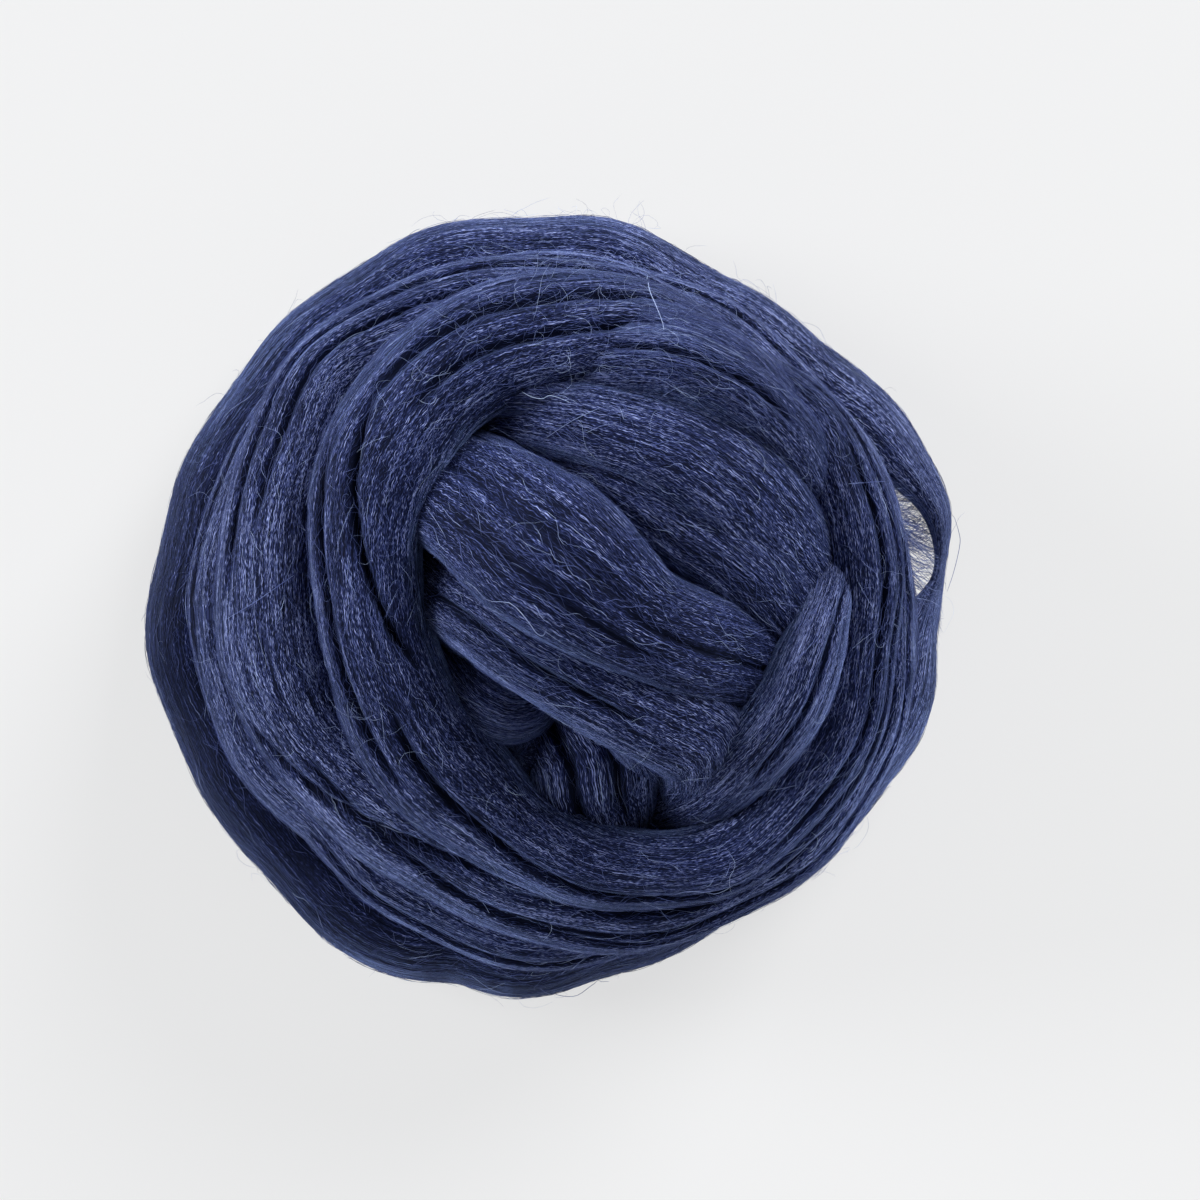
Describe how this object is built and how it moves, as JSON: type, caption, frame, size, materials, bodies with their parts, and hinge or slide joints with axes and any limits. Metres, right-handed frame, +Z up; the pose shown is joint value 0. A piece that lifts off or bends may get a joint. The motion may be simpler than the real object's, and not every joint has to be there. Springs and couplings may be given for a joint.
{
  "type": "wool roving ball",
  "caption": "Loose nest of combed wool roving wound in overlapping turns over a flat foot, with a broad strand crossing its middle.",
  "frame": {"origin": "on the table, under the centre of the ball's box", "axes": "+Z up; +X towards the side where the floor turn bows away from the ball; +Y towards the crest"},
  "size_m": [0.1651, 0.1597, 0.0925],
  "materials": {
    "navy_wool": "matt combed wool, dark blue, with a soft sheen along the fibres"
  },
  "bodies": {
    "root": {"roving_nest": "navy_wool"}
  },
  "joints": []
}
